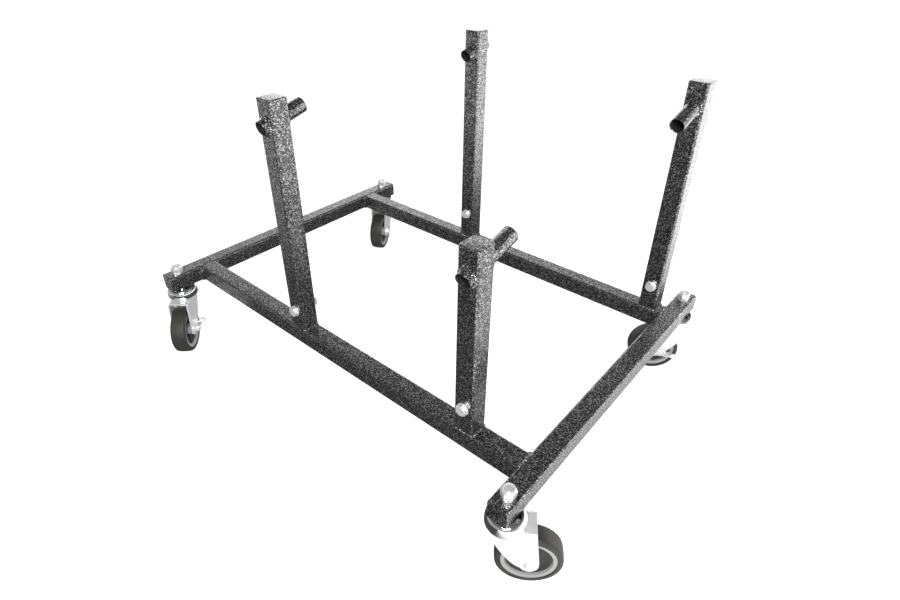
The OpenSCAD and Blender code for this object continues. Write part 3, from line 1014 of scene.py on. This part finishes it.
class STAND_OT_bolts(bpy.types.Operator):
    """Set the bolts, washers and nuts that hold the uprights"""

    bl_idname = "stand.bolts"
    bl_label = "Upright bolts"

    def execute(self, context):
        washer, head, nut, flats = 1.6 * MM, 6.4 * MM, 8.4 * MM, 17 * MM
        near, far = (
            [
                (Vector((p["x"], p["y"] + side * TUBE / 2, p["bolt"])), (-side * math.pi / 2, 0, 0))
                for p in POSTS.values()
            ]
            for side in (-1, 1)
        )
        on_washer = Matrix.Translation((0, 0, washer))
        head_shape = moved(hex_solid(flats, head, 1.5 * MM), on_washer)
        collar = lathe_mm([(4, -0.2), (7.9, 0), (7.9, 0.4), (4, 0.6)], 64, washer)
        reach = TUBE + washer + nut + 3 * MM
        pitch = context.scene.stand_sizes.thread
        rod = threaded_rod(5 * MM, -washer - head / 2, reach, pitch, 0.8 * MM, reach - 16 * MM)
        bolt = join(head_shape, collar, moved(rod, Matrix.Rotation(math.pi, 4, "X")))
        fasteners("bolts_through_uprights", ["upright_bolts"], bolt, near, "zinc", turn=0.6, seed=4)
        plain = ring_shape(10.5 * MM, 5.3 * MM, 0.0, washer)
        both = near + far
        fasteners("washers_on_uprights", ["upright_washers"], plain, both, "zinc", turn=1.0, seed=2)
        nut_shape = moved(hex_solid(flats, nut, 1.4 * MM, both=True), on_washer)
        fasteners("nuts_on_uprights", ["upright_nuts"], nut_shape, far, "zinc", turn=1.0, seed=7)
        return {"FINISHED"}


# Casters


class STAND_OT_stems(bpy.types.Operator):
    """Fit the caster stems and their lock nuts on the deck"""

    bl_idname = "stand.stems"
    bl_label = "Stems and lock nuts"

    def execute(self, context):
        pitch = context.scene.stand_sizes.thread
        places = at_casters(DECK)
        crown = CROWN - DECK
        stem = threaded_rod(
            7 * MM, crown + 4 * MM, 14.2 * MM, pitch, 0.9 * MM, -4 * MM, 1.2 * MM
        )
        rows = [(4.0, -8.4), (7.0, -8.2), (8.6, -6.6), (9.4, -4.6), (9.5, -3.4), (6, -3.4), (6, 5)]
        pin = lathe_mm(rows, 40, crown, closed=False)
        stem = join(stem, pin)
        fasteners("threaded_stems", ["caster_stems"], stem, places, "zinc", turn=0.3, seed=1)
        rows = [(7.1, 12.0), (10.1, 12.0), (9.8, 13.0), (9.3, 13.6), (9.24, 14.4), (8.9, 15.1)]
        rows += [(8.4, 15.4), (8.0, 15.2), (7.9, 14.6)]
        nut = join(hex_solid(21 * MM, 13 * MM, 1.7 * MM), lathe_mm(rows, 48))
        fasteners("stem_lock_nuts", ["stem_nuts"], nut, places, "zinc", turn=1.05, seed=5)
        ring = lathe_mm([(6.6, 12.0), (8.1, 12.0), (8.1, 14.5), (7.3, 14.7)], 48)
        fasteners("lock_nut_rings", [], ring, places, "nylon")
        return {"FINISHED"}


class STAND_OT_cups(bpy.types.Operator):
    """Spin the fixed cups under the ends of the crossbars"""

    bl_idname = "stand.cups"
    bl_label = "Caster cups"

    def execute(self, context):
        outer = [(31.1, -19.7), (31.4, -19.4), (31.5, -18), (31.5, -16), (31.4, -14)]
        outer += [(31.2, -12), (30.8, -9.6), (30.2, -7.5), (29.4, -5.6), (28.4, -4.0)]
        outer += [(27.2, -2.7), (26.0, -1.8), (24.8, -1.2), (23.8, -0.9)]
        mouth = [(23.0, -0.9), (22.6, -1.3), (22.4, -2.0), (22.2, -5.0), (22.0, -9.0)]
        mouth += [(21.5, -11.0), (20.5, -12), (15.2, -12), (14.2, -11.4), (14, -10.5)]
        mouth += [(14, -0.1), (7.05, -0.1)]
        below = [(7.05, -13.8), (21.5, -13.8), (23.2, -12.6), (24.1, -9), (24.4, -4.4)]
        below += [(25.4, -3.6), (26.6, -4.4), (27.6, -6.0), (28.8, -9), (29.5, -12.6)]
        below += [(29.7, -15), (29.7, -19.4), (30.0, -19.7)]
        shape = lathe_mm(outer + mouth + below, 96)
        places = at_casters(UNDER)
        fasteners("spun_cups", ["caster_cups"], shape, places, "chrome", sharp=38)
        return {"FINISHED"}


LEG_R = 14.2 * MM
LEG_BACK = 44.8 * MM
LEG_SWEEP = 57.8 * MM
LEG_CURVE = 1.63


def leg_edges(z, axle_z, trail):
    """Leading and trailing edge of a fork leg at height z."""
    under_crown = CROWN - PLATE
    if z <= axle_z:
        half = math.sqrt(max(LEG_R * LEG_R - (z - axle_z) ** 2, 0.0))
        lead, end = trail - half, trail + half
    else:
        lead, end = trail - LEG_R, trail + LEG_R
        start = axle_z + 8 * MM
        if z > start:
            end += (LEG_BACK - end) * min((z - start) / (under_crown - start), 1.0)
    base = axle_z - 7 * MM
    if z > base:
        s = min(1.0, ((z - base) / LEG_SWEEP) ** (1 / LEG_CURVE))
        edge = (28 - 46 * s) * MM
        top = base + LEG_SWEEP
        if z > top:
            edge += (-24 * MM - edge) * min(1.0, (z - top) / (under_crown - top))
        lead = min(lead, edge)
    return lead, end


def fork_shape(c, bend):
    """Pressed sheet: down one leg, over the crown and down the other."""
    axle_z, top = c["axle_z"], CROWN - bend
    foot, leg, corner, flat, across = 9, 18, 7, 5, 20
    half = [
        (-FORK_HALF, axle_z - LEG_R * math.cos(math.pi / 2 * (i + 0.35) / foot))
        for i in range(foot)
    ]
    half += [(-FORK_HALF, axle_z + (top - axle_z) * i / leg) for i in range(leg + 1)]
    for i in range(1, corner):
        a = math.pi / 2 * i / corner
        half.append((-FORK_HALF + bend * (1 - math.cos(a)), top + bend * math.sin(a)))
    half += [(-FORK_HALF + bend + k * (FORK_HALF - bend) / flat, CROWN) for k in range(flat)]
    rows = half + [(0.0, CROWN)] + [(-y, z) for y, z in reversed(half)]
    points, faces = [], []
    for y, z in rows:
        lead, end = leg_edges(z, axle_z, c["trail"])
        points += [Vector((lead + (end - lead) * k / across, y, z)) for k in range(across + 1)]
    step = across + 1
    for i in range(len(rows) - 1):
        for k in range(across):
            a = i * step + k
            faces.append([a, a + 1, a + 1 + step, a + step])
    return points, faces


class STAND_OT_forks(bpy.types.Operator):
    """Press the swivel forks with their raised race and stiffening lip"""

    bl_idname = "stand.forks"
    bl_label = "Forks"

    def execute(self, context):
        bend = context.scene.stand_sizes.bend
        for name, c in CASTERS.items():
            sheet = new_object("fork_sheet", *fork_shape(c, bend))
            wall = sheet.modifiers.new("wall", "SOLIDIFY")
            wall.thickness, wall.offset, wall.use_even_offset = PLATE, -1, True
            soften(sheet, 0.6 * MM, 50)
            mesh = bake(sheet)
            shell = [v.co.copy() for v in mesh.vertices], [list(f.vertices) for f in mesh.polygons]
            bpy.data.objects.remove(sheet)
            shape = moved(join(shell, self.race(), self.lip()), c["place"])
            body = "swivel_" + name
            solid("pressed_fork_" + name, shape, body, "satin", "fork_" + name, sharp=34)
        return {"FINISHED"}

    def race(self):
        """The raised ring that the fork turns on."""
        rows = [(6.1, -2.9), (20.0, -2.9), (23.4, -2.4), (24.1, -1.6), (24.3, -0.4)]
        rows += [(24.0, 0.2), (23.5, 0.6), (23.2, 1.8), (22.7, 2.6), (22.0, 2.95)]
        rows += [(21.0, 3.0), (20.0, 2.7), (6.1, 2.7)]
        return lathe_mm(rows, 72, CROWN)

    def lip(self):
        """A small V pressed down under the crown's trailing edge."""
        outline = [(-10.5, 0.4), (-1.5, 0.4), (-4.2, -5.2), (-5.2, -7)]
        outline += [(-6.8, -7), (-7.8, -5.2)]
        under = CROWN - PLATE
        return skin([
            [Vector((x * MM, y * MM, under + z * MM)) for y, z in outline] for x in (41.6, 39.8)
        ])


def axle_matrix(c, y):
    """Puts +Z along the axle of a caster, starting at y."""
    start = Matrix.Translation((c["trail"], y, c["axle_z"]))
    return c["place"] @ start @ Matrix.Rotation(-math.pi / 2, 4, "X")


class STAND_OT_axles(bpy.types.Operator):
    """Fit the axle bolts, their nuts and the spacers"""

    bl_idname = "stand.axles"
    bl_label = "Axles"

    def execute(self, context):
        pitch = context.scene.stand_sizes.thread * 0.83
        radius, flats = 4 * MM, 13 * MM
        head = moved(hex_solid(flats, 5.3 * MM, 1.2 * MM), Matrix.Rotation(math.pi, 4, "X"))
        flange = ring_shape(8.0 * MM, radius, -1.2 * MM, 0.0)
        nut = hex_solid(flats, 6.5 * MM, 1.1 * MM, both=True)
        nut = join(nut, ring_shape(7.6 * MM, radius, 0.0, 1 * MM))
        for name, c in CASTERS.items():
            body = "swivel_" + name
            seat = FORK_HALF + (3.1 * MM if c["brake"] else 0.0)
            end = FORK_HALF + seat + 8.5 * MM
            rod = threaded_rod(radius, 0.0, end, pitch, 0.6 * MM, end - 10 * MM)
            bolt = moved(join(rod, head, flange), axle_matrix(c, -FORK_HALF))
            solid("axle_bolt_" + name, bolt, body, "zinc", "axle_" + name)
            seated = moved(nut, axle_matrix(c, seat))
            solid("axle_lock_nut_" + name, seated, body, "zinc", "axle_nut_" + name)
        paint_nodes("zinc", *["spacer_" + n for n in CORNERS])
        return {"FINISHED"}


EYE_R, TIP_R, ARM_SPAN = 10 * MM, 4 * MM, 46 * MM
ARM_LEAN = math.acos((EYE_R - TIP_R) / ARM_SPAN)


class STAND_OT_brakes(bpy.types.Operator):
    """Press the side brake levers"""

    bl_idname = "stand.brakes"
    bl_label = "Brake levers"

    def execute(self, context):
        turn = Matrix.Rotation(math.radians(170), 4, "Z")
        for name, c in CASTERS.items():
            if c["brake"]:
                place = axle_matrix(c, FORK_HALF + 0.3 * MM) @ turn
                shape = moved(join(self.arm(), self.pad()), place)
                node = "brake_" + name
                solid("brake_lever_" + name, shape, node, "zinc", node, bevel=0.6 * MM)
        return {"FINISHED"}

    def arm(self):
        """A flat arm: round its eye, and along to its smaller tip."""
        steps = 20
        outline = []
        for i in range(steps + 1):
            a = ARM_LEAN + 2 * (math.pi - ARM_LEAN) * i / steps
            outline.append((EYE_R * math.cos(a), EYE_R * math.sin(a)))
        for i in range(steps // 2 + 1):
            a = ARM_LEAN * (4 * i / steps - 1)
            outline.append((ARM_SPAN + TIP_R * math.cos(a), TIP_R * math.sin(a)))
        return skin([[Vector((x, y, z)) for x, y in outline] for z in (0.0, 2.5 * MM)])

    def pad(self):
        """Foot pad, bent outwards along the arm's upper edge."""
        rise = [(0, 0.4), (27, 0.4), (26, 7), (24.4, 11.5), (21, 14.4)]
        rise += [(17, 15), (8, 15), (4, 14), (1.6, 10.5), (0.6, 6)]
        rings = [[Vector((x * MM, y, z * MM)) for x, z in rise] for y in (0, -2.2 * MM)]
        turn = Matrix.Rotation(ARM_LEAN - math.pi / 2, 4, "Z")
        return moved(skin(rings), turn @ Matrix.Translation((17 * MM, EYE_R - 0.3 * MM, 0)))


BED_R = 41.8
RIM_HALF = 14.375
TREAD_HALF = 15.875


class STAND_OT_wheels(bpy.types.Operator):
    """Finish the tyres, the moulded wheel centres and their dust covers"""

    bl_idname = "stand.wheels"
    bl_label = "Wheels"

    def execute(self, context):
        disc = self.cover()
        discs = join(disc, moved(disc, Matrix.Rotation(math.pi, 4, "X")))
        for name, c in CASTERS.items():
            for piece, shape, finish_name, node, sharp in (
                ("tyre_ring_", self.tyre(c["axle_z"]), "rubber", "tyre_", 50),
                ("wheel_centre_", self.centre(), "rim", "hub_", 36),
                ("dust_covers_", discs, "cover", "covers_", 36),
            ):
                shape = moved(shape, axle_matrix(c, 0.0))
                solid(piece + name, shape, "wheel_" + name, finish_name, node + name, sharp=sharp)
        return {"FINISHED"}

    def tyre(self, radius):
        """A tyre on its bed, crowned, with rounded shoulders and a faint mould seam."""
        bed, rim = BED_R * MM, RIM_HALF * MM
        profile = [(bed, rim), (bed, -rim)]
        steps, seam_height = 44, 0.12 * MM
        for i in range(steps + 1):
            s = 2 * i / steps - 1
            drop = 1.2 * MM * s * s + (radius - bed - 2.2 * MM) * abs(s) ** 9
            seam = seam_height * math.exp(-((s / 0.03) ** 2))
            width = TREAD_HALF * MM * (1 - (1 - abs(s)) ** 1.35)
            profile.append((radius - drop + seam - seam_height, math.copysign(width, s)))
        return lathe(profile, 128)

    def centre(self):
        """The wheel centre, from its bore to its bed and the same on its other side."""
        bore, hub, web, rim_in, wide = 6.06, 13.0, 3.5, 35.6, 17.075
        half = [(bore, wide), (hub - 1, wide), (hub - 0.3, wide - 0.3), (hub, wide - 1)]
        half += [(hub, web + 4.1), (hub + 0.3, web + 2.5), (hub + 1.4, web)]
        half += [(rim_in - 3.4, web), (rim_in - 2.2, web + 0.6), (rim_in - 1.7, web + 2)]
        half += [(rim_in - 0.1, RIM_HALF - 1.2), (rim_in + 0.2, RIM_HALF - 0.4)]
        half += [(rim_in + 0.9, RIM_HALF), (BED_R - 0.7, RIM_HALF), (BED_R, RIM_HALF - 0.25)]
        return lathe_mm([(r, -z) for r, z in half] + half[::-1], 128)

    def cover(self):
        """One dust cover, from the web up to a rolled edge inside the rim."""
        web, rim_z = 3.5, 10.375
        rows = [(14.2, web + 0.1), (17.0, web + 0.1), (26.0, 5.9), (33.6, rim_z - 1.7)]
        rows += [(34.2, rim_z - 1.4), (34.4, rim_z - 0.5), (34.3, rim_z), (33.6, rim_z)]
        rows += [(32.6, rim_z - 0.5), (25.6, 7.6), (18.0, web + 2.6), (16.4, web + 3.0)]
        rows += [(15.2, web + 3.8), (14.4, web + 4.0), (14.2, web + 3.6)]
        return lathe_mm(rows, 96)


# Stage

SKY_BASE, SKY_LOW, SKY_FAR, SKY_SEEN = 0.16, 0.25, 1.9, 1.05


def light_sky():
    """A soft white room: bright low down on the far side, plain white behind the object."""
    world = bpy.data.worlds.new("soft_room")
    world.use_nodes = True
    bpy.context.scene.world = world
    net = Net(world.node_tree)
    toward = net.wire("ShaderNodeTexCoord", out=0)
    split = net.node("ShaderNodeSeparateXYZ", {}, {0: toward})
    y, z = Wire(net, split.outputs[1]), Wire(net, split.outputs[2])
    low = 1 - net.step(z, 0.28, 0.66)
    level = SKY_BASE + low * (SKY_LOW + net.step(y, -0.2, 0.8) * SKY_FAR)
    seen = net.wire("ShaderNodeLightPath", out=0)
    strength = level * (1 - seen) + seen * SKY_SEEN
    back = net.wire("ShaderNodeBackground", {}, {"Color": (1, 1, 1, 1), "Strength": strength})
    net.node("ShaderNodeOutputWorld", {}, {"Surface": back})


def soft_box(name, place, aim, size, power):
    """A square soft box that faces a point."""
    lamp = bpy.data.lights.new(name, "AREA")
    lamp.shape, lamp.size, lamp.size_y, lamp.energy = "RECTANGLE", size, size, power
    made = bpy.data.objects.new(name, lamp)
    made.location = place
    made.rotation_euler = (Vector(aim) - Vector(place)).to_track_quat("-Z", "Y").to_euler()
    bpy.context.scene.collection.objects.link(made)


class STAND_OT_stage(bpy.types.Operator):
    """Lay the floor, light it softly and set the camera"""

    bl_idname = "stand.stage"
    bl_label = "Floor, light and camera"

    def execute(self, context):
        half = 30.0
        corners = [(-half, -half, 0), (half, -half, 0), (half, half, 0), (-half, half, 0)]
        floor = new_object("floor", corners, [[0, 1, 2, 3]])
        floor.data.materials.append(finish("floor"))
        light_sky()
        soft_box("key_box", (1.5, -1.7, 2.0), (0.1, 0, 0.2), 1.3, 85)
        lens = bpy.data.cameras.new("camera")
        lens.lens, lens.sensor_width = 23.271012, 36
        lens.shift_x, lens.shift_y = 0.00608757, -0.02508724
        lens.clip_start, lens.clip_end = 0.01, 100
        camera = bpy.data.objects.new("camera", lens)
        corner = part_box("crossbar_caps")[0]
        camera.location = (corner.x + 1.16471, corner.y - 0.42521, 0.85742)
        camera.rotation_euler = [math.radians(a) for a in (57.58015582, -0.36385691, 40.30433174)]
        context.scene.collection.objects.link(camera)
        context.scene.camera = camera
        context.scene.view_settings.view_transform = "Standard"
        return {"FINISHED"}


OPERATORS = (
    STAND_OT_tubes,
    STAND_OT_weld_beads,
    STAND_OT_end_caps,
    STAND_OT_sleeves,
    STAND_OT_bolts,
    STAND_OT_stems,
    STAND_OT_cups,
    STAND_OT_forks,
    STAND_OT_axles,
    STAND_OT_brakes,
    STAND_OT_wheels,
    STAND_OT_stage,
)


class STAND_PT_panel(bpy.types.Panel):
    """Lists the steps, sizes and colours of the engine stand"""

    bl_idname = "STAND_PT_panel"
    bl_label = "Engine Stand"
    bl_space_type = "VIEW_3D"
    bl_region_type = "UI"
    bl_category = "Engine Stand"

    def draw(self, context):
        layout = self.layout
        for operator in OPERATORS:
            layout.operator(operator.bl_idname)
        for group in (context.scene.stand_sizes, context.scene.stand_colours):
            box = layout.box()
            for name in group.__annotations__:
                box.prop(group, name)


CLASSES = (StandSizes, StandColours, *OPERATORS, STAND_PT_panel)


def register():
    for item in CLASSES:
        bpy.utils.register_class(item)
    bpy.types.Scene.stand_sizes = PointerProperty(type=StandSizes)
    bpy.types.Scene.stand_colours = PointerProperty(type=StandColours)


def unregister():
    del bpy.types.Scene.stand_colours
    del bpy.types.Scene.stand_sizes
    for item in reversed(CLASSES):
        bpy.utils.unregister_class(item)


def main():
    register()
    for operator in OPERATORS:
        family, step = operator.bl_idname.split(".")
        getattr(getattr(bpy.ops, family), step)()


if __name__ == "__main__":
    main()
